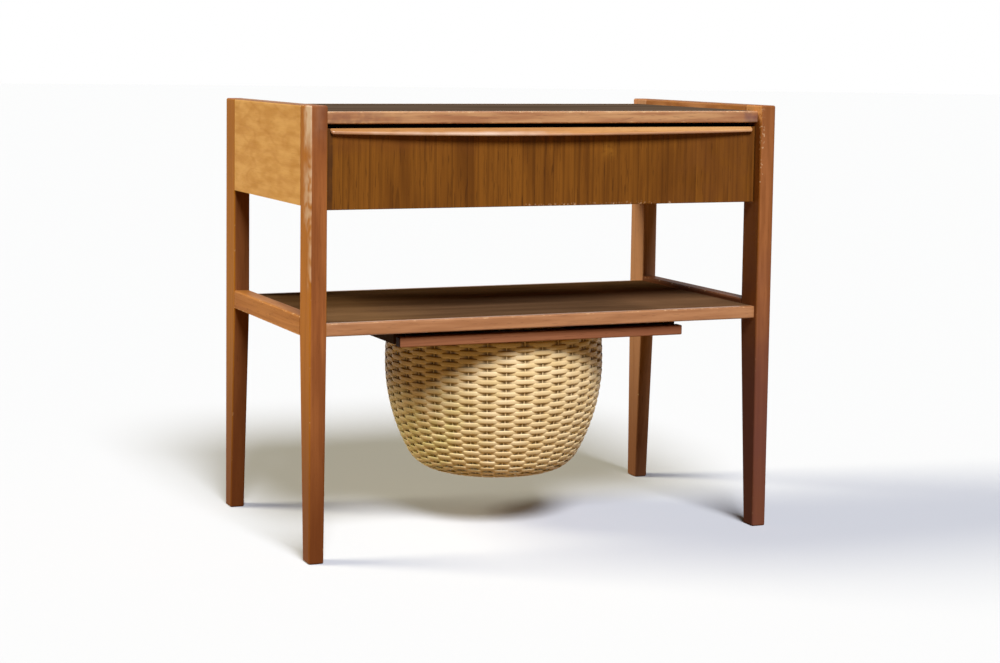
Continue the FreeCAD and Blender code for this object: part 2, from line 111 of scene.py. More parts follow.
def makeCamera(values):
    data = bpy.data.cameras.new("photoCamera")
    data.sensor_width = values["sensor"]
    data.lens = values["focalWidths"] * values["sensor"]
    data.shift_x, data.shift_y = values["shift"]
    data.clip_start = values["nearest"]
    camera = bpy.data.objects.new("photoCamera", data)
    bpy.context.scene.collection.objects.link(camera)
    turn = Matrix.Rotation(math.radians(-values["turn"]), 4, "Z")
    tilt = Matrix.Rotation(math.radians(90 - values["tilt"]), 4, "X")
    roll = Matrix.Rotation(math.radians(values["roll"]), 4, "Z")
    camera.matrix_world = Matrix.Translation(values["place"]) @ turn @ tilt @ roll
    bpy.context.scene.camera = camera


makeCamera(photoCamera)
print("camera set")


# Light: a wide lamp in front and above, a warmer one on the left and a little behind, and a dim
# warm room. Heights and softness are in degrees

studioLight = {
    "frontLamp": {"from": (-0.14, -1.0), "height": 46, "strength": 4.0, "softness": 24,
                  "colour": "#FFFEFC"},
    "sideLamp": {"from": (-1.0, 0.4), "height": 35, "strength": 2.9, "softness": 26,
                 "colour": "#FFF4D0"},
    "backdrop": "#FFFFFF", "backdropLight": 1.0,
    "roomColour": "#FFDDB0", "roomLight": 0.05,
}


def addLamp(name, values):
    # parallel light from a wide source, so that the whole floor is evenly lit
    data = bpy.data.lights.new(name, "SUN")
    data.energy = values["strength"]
    data.angle = math.radians(values["softness"])
    data.color = linear(values["colour"])[:3]
    fromX, fromY = values["from"]
    rise = math.tan(math.radians(values["height"])) * math.hypot(fromX, fromY)
    lamp = bpy.data.objects.new(name, data)
    lamp.matrix_world = Vector((fromX, fromY, rise)).to_track_quat("Z", "Y").to_matrix().to_4x4()
    bpy.context.scene.collection.objects.link(lamp)


def seenDirectly(tree):
    # 1 for rays from the camera, by way of a mirror or glass too, and 0 for the light on things
    rays = addNode(tree, "ShaderNodeLightPath", output=None)
    mirrored = addNode(tree, "ShaderNodeMath", (rays["Is Camera Ray"], rays["Is Glossy Ray"]),
                       operation="MAXIMUM")
    return addNode(tree, "ShaderNodeMath", (mirrored, rays["Is Transmission Ray"]),
                   operation="MAXIMUM")


def makeRoom(values):
    world = bpy.data.worlds.new("paleStudio")
    world.use_nodes = True
    tree = world.node_tree
    tree.nodes.clear()
    light = addNode(tree, "ShaderNodeBackground",
                    (linear(values["roomColour"]), values["roomLight"]))
    backdrop = addNode(tree, "ShaderNodeBackground",
                       (linear(values["backdrop"]), values["backdropLight"]))
    chosen = addNode(tree, "ShaderNodeMixShader", (seenDirectly(tree), light, backdrop))
    addNode(tree, "ShaderNodeOutputWorld", {"Surface": chosen})
    bpy.context.scene.world = world
    bpy.context.scene.view_settings.view_transform = "Standard"


for lampName in ("frontLamp", "sideLamp"):
    addLamp(lampName, studioLight[lampName])
makeRoom(studioLight)

# Floor: a pale matt disc, in metres; what stands on it receives a warmer colour than is seen

paleFloor = {"radius": 30.0, "sides": 96, "seen": "#D3D8E5", "bounced": "#87682F",
             "roughness": 0.9}


def paintedFloor(values):
    # matt emulsion paint: even and pale, without any shine
    material, tree = newMaterial("paleEmulsionPaint")
    colour = addNode(tree, "ShaderNodeMix",
                     {mixShare: seenDirectly(tree), mixUnder: linear(values["bounced"]),
                      mixOver: linear(values["seen"])}, mixed, data_type="RGBA")
    shader = addNode(tree, "ShaderNodeBsdfPrincipled",
                     {"Base Color": colour, "Roughness": values["roughness"],
                      "Specular IOR Level": 0.0})
    addNode(tree, "ShaderNodeOutputMaterial", {"Surface": shader})
    return material


def makeFloor(values):
    angles = [2 * math.pi * i / values["sides"] for i in range(values["sides"])]
    corners = [(values["radius"] * math.cos(a), values["radius"] * math.sin(a), 0) for a in angles]
    mesh = bpy.data.meshes.new("paleFloor")
    mesh.from_pydata(corners, [], [list(range(values["sides"]))])
    mesh.materials.append(paintedFloor(values))
    floor = bpy.data.objects.new("paleFloor", mesh)
    bpy.context.scene.collection.objects.link(floor)


makeFloor(paleFloor)
print("studio set")


# Teak: one pattern for every board, turned to its grain and tuned by its own values. This is what
# every board starts from, with lengths in millimetres; each piece then changes what differs

oiledTeak = {
    "grain": "Z", "seed": 0.0,
    "pale": "#AC6A3C", "deep": "#9B5B31", "line": "#6B3818", "pore": "#45230F", "worn": "#D9B78E",
    # growth rings about a pith outside the board, which leans against the grain
    "ring": 5.5, "pith": (60.0, -45.0), "lean": (0.012, -0.02), "ringShare": 0.22,
    "bend": 9.0, "bendLength": 210.0, "bendWidth": 42.0,
    "lateWood": (0.25, 0.9), "yearEnd": (1.0, 0.92),    # where in a ring it darkens and ends
    "yearStep": 0.61, "ringGate": (0.3, 0.62),          # which years leave a mark
    # fibres and pores are drawn coarser than real ones, which the render would be too small for
    "fibreLength": 70.0, "fibreWidth": 1.6, "fibreShare": 0.3, "fibreStep": (0.45, 0.75),
    "poreLength": 13.0, "poreWidth": 1.1, "poreShare": 0.35, "poreStep": (0.62, 0.74),
    "toneLength": 260.0, "toneWidth": 34.0, "toneStep": (0.32, 0.68),
    "veinShare": 0.0, "veinLength": 90.0, "veinWidth": 60.0, "veinReach": 0.05,
    # pale rubbed edges: how wide, how strong, and which parts of an edge have them
    "wearPatch": 9.0, "wearWidth": 2.4, "wearShare": 0.55, "wearStart": 0.52, "wearFull": 0.78,
    "wearFade": (-0.3, 1.0),
    "zones": (),
    "faces": {}, "faceStep": (0.3, 0.75),   # another colour for faces square to an axis; on the legs and the pull it is painted light and shade
    "footShadeShare": 0.0, "footShadeHeight": 300.0,  # painted shade: how much a leg darkens towards the floor
    "relief": 0.2, "reliefHeight": 0.3, "fibreRelief": 0.5, "poreRelief": -0.8,
    "roughness": 0.4, "roughnessSpread": 0.14, "specular": 0.1, "ior": 1.45,
}
seedSteps = {"fibre": 3, "tone": 7, "pore": 11, "vein": 17}     # keep one board's patterns apart
seedSpread = (1.0, 1.7, 0.6)    # how a seed moves a pattern along each axis


def turnedToGrain(tree, coords, axis):
    # object coordinates with the grain along Z
    places = addNode(tree, "ShaderNodeSeparateXYZ", (coords,), None)
    order = {"X": (1, 2, 0), "Y": (2, 0, 1), "Z": (0, 1, 2)}[axis]
    return addNode(tree, "ShaderNodeCombineXYZ", [places[i] for i in order])


def grainNoise(tree, grain, length, width, seed, detail=2.0, roughness=0.5):
    # noise drawn out along the grain, in cells of this length and width in millimetres
    stretch = (1 / (width * mm), 1 / (width * mm), 1 / (length * mm))
    mapped = addNode(tree, "ShaderNodeMapping",
                     {"Vector": grain, "Scale": stretch,
                      "Location": [seed * share for share in seedSpread]})
    return addNode(tree, "ShaderNodeTexNoise",
                   {"Vector": mapped, "Scale": 1.0, "Detail": detail, "Roughness": roughness})


def growthRings(tree, grain, look):
    # 0 in pale early wood, 1 in dark late wood
    across, depth, along = addNode(tree, "ShaderNodeSeparateXYZ", (grain,), None)
    bend = grainNoise(tree, grain, look["bendLength"], look["bendWidth"], look["seed"])
    wander = addNode(tree, "ShaderNodeMath", (bend, look["bend"] * mm), operation="MULTIPLY")
    sides = []
    for place, pith, lean in zip((across, depth), look["pith"], look["lean"]):
        fromPith = addNode(tree, "ShaderNodeMath", (place, pith * mm), operation="SUBTRACT")
        leaning = addNode(tree, "ShaderNodeMath", (along, lean, fromPith),
                          operation="MULTIPLY_ADD")
        sides.append(addNode(tree, "ShaderNodeMath", (leaning, 2.0), operation="POWER"))
    squares = addNode(tree, "ShaderNodeMath", sides, operation="ADD")
    radius = addNode(tree, "ShaderNodeMath", (squares,), operation="SQRT")
    wandering = addNode(tree, "ShaderNodeMath", (radius, wander), operation="ADD")
    count = addNode(tree, "ShaderNodeMath", (wandering, look["ring"] * mm), operation="DIVIDE")
    share = addNode(tree, "ShaderNodeMath", (count,), operation="FRACT")
    slopes = [addNode(tree, "ShaderNodeMapRange",
                      {"Value": share, "From Min": look[part][0], "From Max": look[part][1]},
                      **smooth)
              for part in ("lateWood", "yearEnd")]
    ring = addNode(tree, "ShaderNodeMath", slopes, operation="MULTIPLY")
    # some years leave hardly any mark
    place = addNode(tree, "ShaderNodeMath", (count, look["yearStep"], look["seed"]),
                    operation="MULTIPLY_ADD")
    years = addNode(tree, "ShaderNodeTexNoise", {"W": place, "Scale": 1.0, "Detail": 0.0},
                    noise_dimensions="1D")
    least, most = look["ringGate"]
    marked = addNode(tree, "ShaderNodeMapRange",
                     {"Value": years, "From Min": least, "From Max": most}, **smooth)
    return addNode(tree, "ShaderNodeMath", (ring, marked), operation="MULTIPLY")


def curvedVeins(tree, grain, look):
    # thin curved lines, where a slow pattern passes its middle
    slow = grainNoise(tree, grain, look["veinLength"], look["veinWidth"],
                      look["seed"] + seedSteps["vein"], 0.6)
    apart = addNode(tree, "ShaderNodeMath", (slow, noiseMiddle), operation="SUBTRACT")
    folded = addNode(tree, "ShaderNodeMath", (apart,), operation="ABSOLUTE")
    return addNode(tree, "ShaderNodeMapRange",
                   {"Value": folded, "From Min": look["veinReach"], "From Max": 0.0,
                    "To Max": look["veinShare"]}, **smooth)


def secondSmallest(tree, gaps):
    # of two or three distances in metres, as millimetres: an edge is near where two faces are
    lesser = addNode(tree, "ShaderNodeMath", gaps[:2], operation="MINIMUM")
    middle = addNode(tree, "ShaderNodeMath", gaps[:2], operation="MAXIMUM")
    if len(gaps) == 3:
        kept = addNode(tree, "ShaderNodeMath", (middle, gaps[2]), operation="MINIMUM")
        middle = addNode(tree, "ShaderNodeMath", (lesser, kept), operation="MAXIMUM")
    return addNode(tree, "ShaderNodeMath", (middle, 1 / mm), operation="MULTIPLY")


def edgesOf(node, skip=""):
    # a pattern of millimetres from the nearest edge of a node's CAD box; faces square to the axes
    # in skip don't count
    low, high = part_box(node)
    half = (high - low) / 2

    def pattern(tree, coords):
        moved = addNode(tree, "ShaderNodeVectorMath", (coords, (low + high) / 2),
                        operation="SUBTRACT")
        folded = addNode(tree, "ShaderNodeVectorMath", (moved,), operation="ABSOLUTE")
        places = addNode(tree, "ShaderNodeSeparateXYZ", (folded,), None)
        gaps = [addNode(tree, "ShaderNodeMath", (half[i], places[i]), operation="SUBTRACT")
                for i, axis in enumerate("XYZ") if axis not in skip]
        return secondSmallest(tree, gaps)
    return pattern


legShape = {
    "outerX": cadBox[1].x, "outerY": cadBox[1].y, "height": cadBox[1].z,
    "width": 20 * mm, "depth": 38 * mm, "footWidth": 18 * mm, "footDepth": 23 * mm,
    "knee": 258 * mm,
}


def legEdges(tree, coords):
    # millimetres from a leg's nearest edge; below the knee its inner faces taper
    folded = addNode(tree, "ShaderNodeVectorMath", (coords,), operation="ABSOLUTE")
    x, y, z = addNode(tree, "ShaderNodeSeparateXYZ", (folded,), None)
    gaps = []
    for place, outer, width, foot in (
            (x, legShape["outerX"], legShape["width"], legShape["footWidth"]),
            (y, legShape["outerY"], legShape["depth"], legShape["footDepth"])):
        inner = addNode(tree, "ShaderNodeMapRange",
                        {"Value": z, "From Max": legShape["knee"],
                         "To Min": outer - foot, "To Max": outer - width})
        toOuter = addNode(tree, "ShaderNodeMath", (outer, place), operation="SUBTRACT")
        toInner = addNode(tree, "ShaderNodeMath", (place, inner), operation="SUBTRACT")
        gaps.append(addNode(tree, "ShaderNodeMath", (toOuter, toInner), operation="MINIMUM"))
    toTop = addNode(tree, "ShaderNodeMath", (legShape["height"], z), operation="SUBTRACT")
    gaps.append(addNode(tree, "ShaderNodeMath", (z, toTop), operation="MINIMUM"))
    return secondSmallest(tree, gaps)


# Zones paint worn, chipped or stained places. Each is a box from low to high that fades out over
# soft along X, Y and Z, with a border as uneven as patch and a cover broken up by grit, all in mm.
# The grit noise covers more from the first to the second value of gritFrom, and share is the
# cover at its fullest

zoneBorder = {"wander": 2.0, "outer": 1.0, "inner": -1.0}   # in units of soft


def zoneMask(tree, coords, zone):
    # 1 inside the zone's box and 0 away from it
    low, high = Vector(zone["low"]) * mm, Vector(zone["high"]) * mm
    soft = [1 / (reach * mm) for reach in zone["soft"]]
    moved = addNode(tree, "ShaderNodeVectorMath", (coords, (low + high) / 2),
                    operation="SUBTRACT")
    folded = addNode(tree, "ShaderNodeVectorMath", (moved,), operation="ABSOLUTE")
    outside = addNode(tree, "ShaderNodeVectorMath", (folded, (high - low) / 2),
                      operation="SUBTRACT")
    steps = addNode(tree, "ShaderNodeVectorMath", (outside, soft), operation="MULTIPLY")
    x, y, z = addNode(tree, "ShaderNodeSeparateXYZ", (steps,), None)
    furthest = addNode(tree, "ShaderNodeMath", (x, y), operation="MAXIMUM")
    furthest = addNode(tree, "ShaderNodeMath", (furthest, z), operation="MAXIMUM")
    patch = addNode(tree, "ShaderNodeTexNoise",
                    {"Vector": coords, "Scale": 1 / (zone["patch"] * mm), "Detail": 2.0})
    uneven = addNode(tree, "ShaderNodeMath", (patch, noiseMiddle), operation="SUBTRACT")
    border = addNode(tree, "ShaderNodeMath", (uneven, zoneBorder["wander"], furthest),
                     operation="MULTIPLY_ADD")
    mask = addNode(tree, "ShaderNodeMapRange",
                   {"Value": border, "From Min": zoneBorder["outer"],
                    "From Max": zoneBorder["inner"], "To Max": zone["share"]}, **smooth)
    grit = addNode(tree, "ShaderNodeTexNoise",
                   {"Vector": coords, "Scale": 1 / (zone["grit"] * mm), "Detail": 1.0})
    least, most = zone["gritFrom"]
    broken = addNode(tree, "ShaderNodeMapRange",
                     {"Value": grit, "From Min": least, "From Max": most}, **smooth)
    return addNode(tree, "ShaderNodeMath", (mask, broken), operation="MULTIPLY")


def edgeWear(tree, coords, look, edges):
    # rubbed edges: paler, and uneven along their length
    patch = addNode(tree, "ShaderNodeTexNoise",
                    {"Vector": coords, "Scale": 1 / (look["wearPatch"] * mm),
                     "Detail": 4.0, "Roughness": 0.65})
    reach = addNode(tree, "ShaderNodeMapRange",
                    {"Value": patch, "From Min": look["wearStart"], "From Max": look["wearFull"],
                     "To Max": look["wearWidth"]}, **smooth)
    within = addNode(tree, "ShaderNodeMath", (reach, edges(tree, coords)), operation="SUBTRACT")
    least, most = look["wearFade"]
    return addNode(tree, "ShaderNodeMapRange",
                   {"Value": within, "From Min": least, "From Max": most,
                    "To Max": look["wearShare"]}, **smooth)


def boardColour(tree, coords, look):
    # the board's ground colour: two tones of the wood, its faces and its foot, where faces and
    # foot may carry painted light and shade
    grain = turnedToGrain(tree, coords, look["grain"])
    tone = grainNoise(tree, grain, look["toneLength"], look["toneWidth"],
                      look["seed"] + seedSteps["tone"])
    least, most = look["toneStep"]
    step = addNode(tree, "ShaderNodeMapRange",
                   {"Value": tone, "From Min": least, "From Max": most}, **smooth)
    colour = addNode(tree, "ShaderNodeMix",
                     {mixShare: step, mixUnder: linear(look["pale"]),
                      mixOver: linear(look["deep"])}, mixed, data_type="RGBA")
    least, most = look["faceStep"]
    for axis, (faceColour, share) in look["faces"].items():
        # a face square to an axis differs in colour: end grain is darker, and on the legs and the
        # pull the difference is painted light and shade
        facing = addNode(tree, "ShaderNodeTexCoord", output="Normal")
        along = addNode(tree, "ShaderNodeSeparateXYZ", (facing,), "XYZ".index(axis))
        turned = addNode(tree, "ShaderNodeMath", (along,), operation="ABSOLUTE")
        flank = addNode(tree, "ShaderNodeMapRange",
                        {"Value": turned, "From Min": least, "From Max": most,
                         "To Max": share}, **smooth)
        colour = addNode(tree, "ShaderNodeMix",
                         {mixShare: flank, mixUnder: colour, mixOver: linear(faceColour)}, mixed,
                         data_type="RGBA")
    if look["footShadeShare"]:
        # painted shade: darker towards the floor
        height = addNode(tree, "ShaderNodeSeparateXYZ", (coords,), 2)
        low = addNode(tree, "ShaderNodeMapRange",
                      {"Value": height, "From Min": look["footShadeHeight"] * mm, "From Max": 0.0,
                       "To Max": look["footShadeShare"]}, **smooth)
        colour = addNode(tree, "ShaderNodeMix",
                         {mixShare: low, mixUnder: colour, mixOver: linear(look["line"])}, mixed,
                         data_type="RGBA")
    return grain, colour


def teakBoard(name, look, edges=None):
    # teak: oily golden-brown wood with darker growth lines, short dark pores and a low sheen
    material, tree = newMaterial(name)
    coords = addNode(tree, "ShaderNodeTexCoord", output="Object")
    grain, colour = boardColour(tree, coords, look)
    fibre = grainNoise(tree, grain, look["fibreLength"], look["fibreWidth"],
                       look["seed"] + seedSteps["fibre"], 3.0, 0.6)
    pore = grainNoise(tree, grain, look["poreLength"], look["poreWidth"],
                      look["seed"] + seedSteps["pore"], 1.0)
    fibreStep, poreStep = [
        addNode(tree, "ShaderNodeMapRange", {"Value": noise, "From Min": least, "From Max": most},
                **smooth)
        for noise, (least, most) in ((fibre, look["fibreStep"]), (pore, look["poreStep"]))]
    layers = [(growthRings(tree, grain, look), look["ringShare"], look["line"]),
              (fibreStep, look["fibreShare"], look["line"]),
              (poreStep, look["poreShare"], look["pore"])]
    if look["veinShare"]:
        layers.insert(0, (curvedVeins(tree, grain, look), 1.0, look["line"]))
    if edges is not None:
        layers.append((edgeWear(tree, coords, look, edges), 1.0, look["worn"]))
    layers += [(zoneMask(tree, coords, zone), 1.0, zone["colour"]) for zone in look["zones"]]
    for mask, share, layerColour in layers:
        amount = mask
        if share < 1:
            amount = addNode(tree, "ShaderNodeMath", (mask, share), operation="MULTIPLY")
        colour = addNode(tree, "ShaderNodeMix",
                         {mixShare: amount, mixUnder: colour, mixOver: linear(layerColour)},
                         mixed, data_type="RGBA")
    pits = addNode(tree, "ShaderNodeMath", (poreStep, look["poreRelief"]), operation="MULTIPLY")
    relief = addNode(tree, "ShaderNodeMath", (fibre, look["fibreRelief"], pits),
                     operation="MULTIPLY_ADD")
    bump = addNode(tree, "ShaderNodeBump",
                   {"Strength": look["relief"], "Distance": look["reliefHeight"] * mm,
                    "Height": relief})
    gloss = addNode(tree, "ShaderNodeMath", (fibre, look["roughnessSpread"], look["roughness"]),
                    operation="MULTIPLY_ADD")
    shader = addNode(tree, "ShaderNodeBsdfPrincipled",
                     {"Base Color": colour, "Roughness": gloss, "Normal": bump,
                      "IOR": look["ior"], "Specular IOR Level": look["specular"]})
    addNode(tree, "ShaderNodeOutputMaterial", {"Surface": shader})
    return material


def board(node, name, changes, edges=None):
    # one material on one CAD node
    dress(node, teakBoard(name, {**oiledTeak, **changes}, edges))


# Legs: oiled teak, reddish on the front; their golden sides are painted side light, and their
# darkening near the floor is painted shade. The front left one is rubbed pale where hands reach
# for the pull, with a painted sheen at its front corner, and the front right one has small chips

legEnd = {"Z": ("#8A5530", 0.8)}    # end grain drinks more oil
# the golden colour of the X faces is painted side light, and the darkening towards the floor is
# painted shade
teakLeg = {
    "pale": "#A86A3D", "deep": "#8C5430", "line": "#5E3116", "ring": 6.0, "ringShare": 0.14,
    "fibreShare": 0.22, "poreShare": 0.2, "toneLength": 120.0, "toneWidth": 10.0,
    "faces": {"X": ("#AA6D21", 0.85), **legEnd}, "footShadeShare": 0.78, "specular": 0.03,
}
# pale patches: rubbed wear, and on the front left leg also a painted sheen of its rounded corner
# and top
wearAndSheen = {"patch": 16.0, "soft": (0.4, 7, 14), "grit": 13.0, "gritFrom": (0.25, 0.6),
          "colour": "#C9AE98"}
chipped = {"patch": 6.0, "soft": (0.8, 0.8, 3), "grit": 3.4, "gritFrom": (0.56, 0.68),
           "share": 0.75, "colour": "#D6B594"}
frontLeftZones = (
    # pale along the side face's front corner: rubbed wear with a painted sheen of the rounded edge
    {"low": (-310, -180, 480), "high": (-296.8, -148, 540), "share": 0.9, **wearAndSheen,
     "gritFrom": (0.1, 0.5), "colour": "#D2BBA8"},
    {"low": (-310, -180, 320), "high": (-296.8, -159, 500), "share": 0.55, **wearAndSheen},
    {"low": (-310, -180, 392), "high": (-296.8, -146, 448), "share": 0.65, **wearAndSheen},
    # painted highlight: a greyish sheen at the top of the front face
    {"low": (-293, -180, 490), "high": (-284, -160, 530), "share": 0.16, **wearAndSheen,
     "soft": (5, 2, 14)},
    {"low": (-296.5, -180, 478), "high": (-270, -160, 530), "share": 0.4, "soft": (2, 2, 22),
     "patch": 14.0, "grit": 12.0, "gritFrom": (0.1, 0.5), "colour": "#6E4334"},
)
frontRightZones = (
    {"low": (277, -170, 474), "high": (283, -164, 514), **chipped, "gritFrom": (0.6, 0.72)},
    {"low": (277, -170, 507), "high": (283, -160, 515), **chipped, "gritFrom": (0.5, 0.66),
     "grit": 4.0, "share": 0.6},
    {"low": (277, -170, 420), "high": (282, -164, 500), **chipped, "gritFrom": (0.66, 0.76)},
    {"low": (270, -175, 503), "high": (278.6, -120, 530), "share": 0.85, "soft": (0.5, 3, 5),
     "patch": 9.0, "grit": 7.0, "gritFrom": (0.1, 0.5), "colour": "#C08A5A"},
    # painted shade: the lower leg below the shelf
    {"low": (270, -180, -20), "high": (310, -120, 250), "share": 0.85, "soft": (5, 5, 130),
     "patch": 60.0, "grit": 40.0, "gritFrom": (0.0, 0.3), "colour": "#694039"},
)
legs = {
    "leg_front_left": {"seed": 1.3, "zones": frontLeftZones},
    # the front right leg's darker X faces are painted shade
    "leg_front_right": {"seed": 2.9, "pale": "#A56B42", "deep": "#8B5733", "footShadeShare": 0.6,
                        "faces": {"X": ("#8A541F", 0.85), **legEnd}, "zones": frontRightZones},
    # the back left leg is a darker copy, painted shade on its front; its golden X faces are
    # painted side light
    "leg_back_left": {"seed": 3.7, "pale": "#8A5631", "deep": "#7A4A2A",
                      "faces": {"X": ("#A2691F", 0.85), **legEnd}},
    # the back right leg is a lighter copy, painted light on a front that lies in shade
    "leg_back_right": {"seed": 5.8, "pale": "#BE8F72", "deep": "#AC7F62", "footShadeShare": 0.7,
                       "faces": {"X": ("#BB8A68", 0.85), **legEnd}},
}
for node, look in legs.items():
    board(node, "oiledTeakLeg_" + node, {**teakLeg, **look}, legEdges)

# Side panels: golden teak veneer with a faint wavy figure, which looks like slow ripples

figuredPanel = {
    "grain": "Y", "pale": "#D0A365", "deep": "#BE8E4D", "line": "#A56D2A", "pore": "#84501F",
    "ring": 23.0, "bend": 90.0, "bendLength": 150.0, "bendWidth": 100.0, "ringShare": 0.16,
    "lean": (0.25, 0.1), "toneLength": 55.0, "toneWidth": 12.0, "fibreShare": 0.12,
    "poreShare": 0.15, "veinShare": 0.22, "veinLength": 110.0, "veinWidth": 30.0,
    "specular": 0.03, "faces": {"Z": ("#7A543C", 0.95)}, "wearShare": 0.15,
}
panels = {"left": {"seed": 4.1}, "right": {"seed": 9.4, "pale": "#B57F57", "deep": "#98623A"}}
for side, look in panels.items():
    board("side_panel_" + side, "figuredTeakPanel_" + side, {**figuredPanel, **look},
          edgesOf("side_panel_" + side, "Y"))

# Rails beside the shelf: solid oiled teak with worn edges; the right one is darker

oiledRail = {"grain": "Y", "pale": "#B27942", "deep": "#9C6430", "wearWidth": 3.0,
             "wearStart": 0.42, "specular": 0.03}
rails = {"left": {"seed": 15.1},
         "right": {"seed": 20.4, "pale": "#7E4E30", "deep": "#683D24", "wearShare": 0.4}}
for side, look in rails.items():
    board("lower_rail_" + side, "oiledTeakRail_" + side, {**oiledRail, **look},
          edgesOf("lower_rail_" + side))

# Back panel: plain teak, evenly brown

plainBack = {"grain": "X", "pale": "#A86C3C", "deep": "#8C5229", "seed": 5.2}
board("back_panel", "plainTeakBack", plainBack)

# Top and shelf: teak darkened by age and polish, with hardly any grain to see; their grey cast is
# a painted reflection of the room, as they have no shine. The shelf is a little lighter, with
# painted light and reflection near its ends

# the grey in these colours is a painted reflection of the room
darkBoard = {
    "grain": "X", "pale": "#5B4D43", "deep": "#4B3E34", "line": "#352B23", "pore": "#281D15",
    "ring": 14.0, "bend": 24.0, "specular": 0.0, "roughness": 0.3,
}
darkTop = {**darkBoard, "seed": 6.6}
shelfPaintedLight = {"patch": 60.0, "grit": 50.0, "gritFrom": (0.0, 0.25)}
darkShelf = {
    **darkBoard, "pale": "#6A503A", "deep": "#57402D", "line": "#3C2818", "seed": 8.9,
    # painted light: the right end by a painted reflection of panel and legs, the left end lit
    # outside the case's shadow
    "zones": ({"low": (150, -170, 270), "high": (270, 60, 276), "share": 0.5,
               "soft": (80, 90, 5), "colour": "#8A6649", **shelfPaintedLight},
              {"low": (-270, -170, 270), "high": (-180, 60, 276), "share": 0.3,
               "soft": (60, 90, 5), "colour": "#806241", **shelfPaintedLight}),
}
board("top_panel", "polishedTeakTop", darkTop)
board("shelf_panel", "polishedTeakShelf", darkShelf)

# Lippings: paler solid teak along the long edges, with a soft shine; those of the top are
# darkened near both ends

lipping = {
    "grain": "X", "pale": "#C1946A", "deep": "#A26F4C", "line": "#8A5936", "ring": 4.0,
    "toneLength": 70.0, "toneWidth": 7.0,
    "wearWidth": 2.6, "wearStart": 0.42, "specular": 0.5, "roughness": 0.3,
}
topLipping = {
    **lipping,
    "zones": ({"low": (262, -170, 495), "high": (280, -140, 509.5), "share": 0.6,
               "soft": (5, 4, 4), "patch": 14.0, "grit": 9.0, "gritFrom": (0.2, 0.6),
               "colour": "#5E4048"},
              {"low": (-280, -170, 495), "high": (-205, -140, 510.5), "share": 0.45,
               "soft": (40, 4, 3), "patch": 12.0, "grit": 8.0, "gritFrom": (0.35, 0.6),
               "colour": "#7A4E3C"}),
}
shelfLipping = {**lipping, "pale": "#B27F58", "deep": "#A06D47"}
lippings = {
    "top_front_lipping": {**topLipping, "seed": 10.0},
    "top_back_lipping": {**topLipping, "seed": 11.0},
    "shelf_front_lipping": {**shelfLipping, "seed": 12.0},
    "shelf_back_lipping": {**shelfLipping, "seed": 13.0},
}
for node, look in lippings.items():
    board(node, "teakLipping_" + node, look, edgesOf(node, "X"))

# Drawer front: teak veneer with straight upright grain, in narrow dark and golden stripes. It has
# a painted shadow of the leg at its left end and painted shade under the pull at the left, a
# darker stain at its right end, and it is chipped along its bottom. Its pores are drawn coarser
# still, so that the stripes show

stainAndShadePatch = {"patch": 40.0, "grit": 26.0, "gritFrom": (0.2, 0.6)}
drawerFront = {
    "grain": "Z", "pale": "#81511C", "deep": "#693F15", "line": "#3F220B", "pore": "#2F180A",
    "seed": 21.0, "ring": 6.5, "ringShare": 0.42, "ringGate": (0.3, 0.7),
    "bend": 7.0, "bendWidth": 26.0, "bendLength": 520.0, "pith": (-190.0, -132.0),
    "lean": (0.0, 0.065), "toneLength": 130.0, "toneWidth": 14.0,
    "fibreLength": 110.0, "poreLength": 26.0, "poreWidth": 1.5, "poreShare": 0.45,
    "wearWidth": 1.0, "specular": 0.08,
    # painted shadow of the front left leg at the left end
    "zones": ({"low": (-290, -158, 380), "high": (-268.5, -150, 510), "share": 0.75,
               "soft": (1, 5, 9), "patch": 20.0, "grit": 9.0, "gritFrom": (0.1, 0.4),
               "colour": "#3A2418"},
              {"low": (190, -158, 395), "high": (280, -150, 500), "share": 0.55,
               "soft": (50, 5, 30), "colour": "#6E4320", **stainAndShadePatch},
              # painted shade under the pull lip
              {"low": (-280, -158, 470), "high": (-130, -150, 500), "share": 0.5,
               "soft": (60, 5, 12), "colour": "#6A3D1C", **stainAndShadePatch},
              {"low": (72, -158, 462), "high": (84, -150, 478), "share": 0.35,
               "soft": (7, 5, 12), "patch": 12.0, "grit": 6.0, "gritFrom": (0.2, 0.6),
               "colour": "#B47C2E"},
              {"low": (-30, -158, 395), "high": (170, -150, 403.6), **chipped, "grit": 2.8}),
}
board("drawer_front", "straightTeakDrawerFront", drawerFront, edgesOf("drawer_front"))

# Pull lip: solid teak polished by hands. Its pinkish nose against an orange top, and its zones,
# are painted light: a painted highlight on the nose at the left, painted shade under the nose and
# a lit top at the right

lipLightPatch = {"patch": 30.0, "grit": 14.0, "gritFrom": (0.0, 0.3)}
pullLip = {
    "grain": "X", "pale": "#C08E66", "deep": "#AE7A54", "line": "#8E5D36", "seed": 23.0,
    "ring": 3.0, "faces": {"Z": ("#C08A52", 0.9)}, "wearWidth": 1.6,
    "roughness": 0.3, "roughnessSpread": 0.08, "specular": 0.8,
    # painted highlight on the nose, left of the middle
    "zones": ({"low": (-150, -175, 480), "high": (-40, -162, 489.4), "share": 0.95,
               "soft": (110, 3, 1.6), "colour": "#DEC8BA", **lipLightPatch},
              # painted shade on the lower nose, right part
              {"low": (60, -175, 480), "high": (280, -150, 487.6), "share": 0.7,
               "soft": (90, 3, 1.2), "colour": "#8C5A2E", **lipLightPatch},
              # painted light on the top, right part
              {"low": (60, -175, 489.6), "high": (280, -150, 500), "share": 0.6,
               "soft": (90, 3, 1.2), "colour": "#DDAE74", **lipLightPatch}),
}
board("drawer_pull_lip", "oiledTeakPull", pullLip, edgesOf("drawer_pull_lip", "X"))

# Inside the drawer: pale dry beech with fine pores, and a thin bottom of birch plywood, duller
# and more even than the beech. The dowels that carry top and shelf are beech too

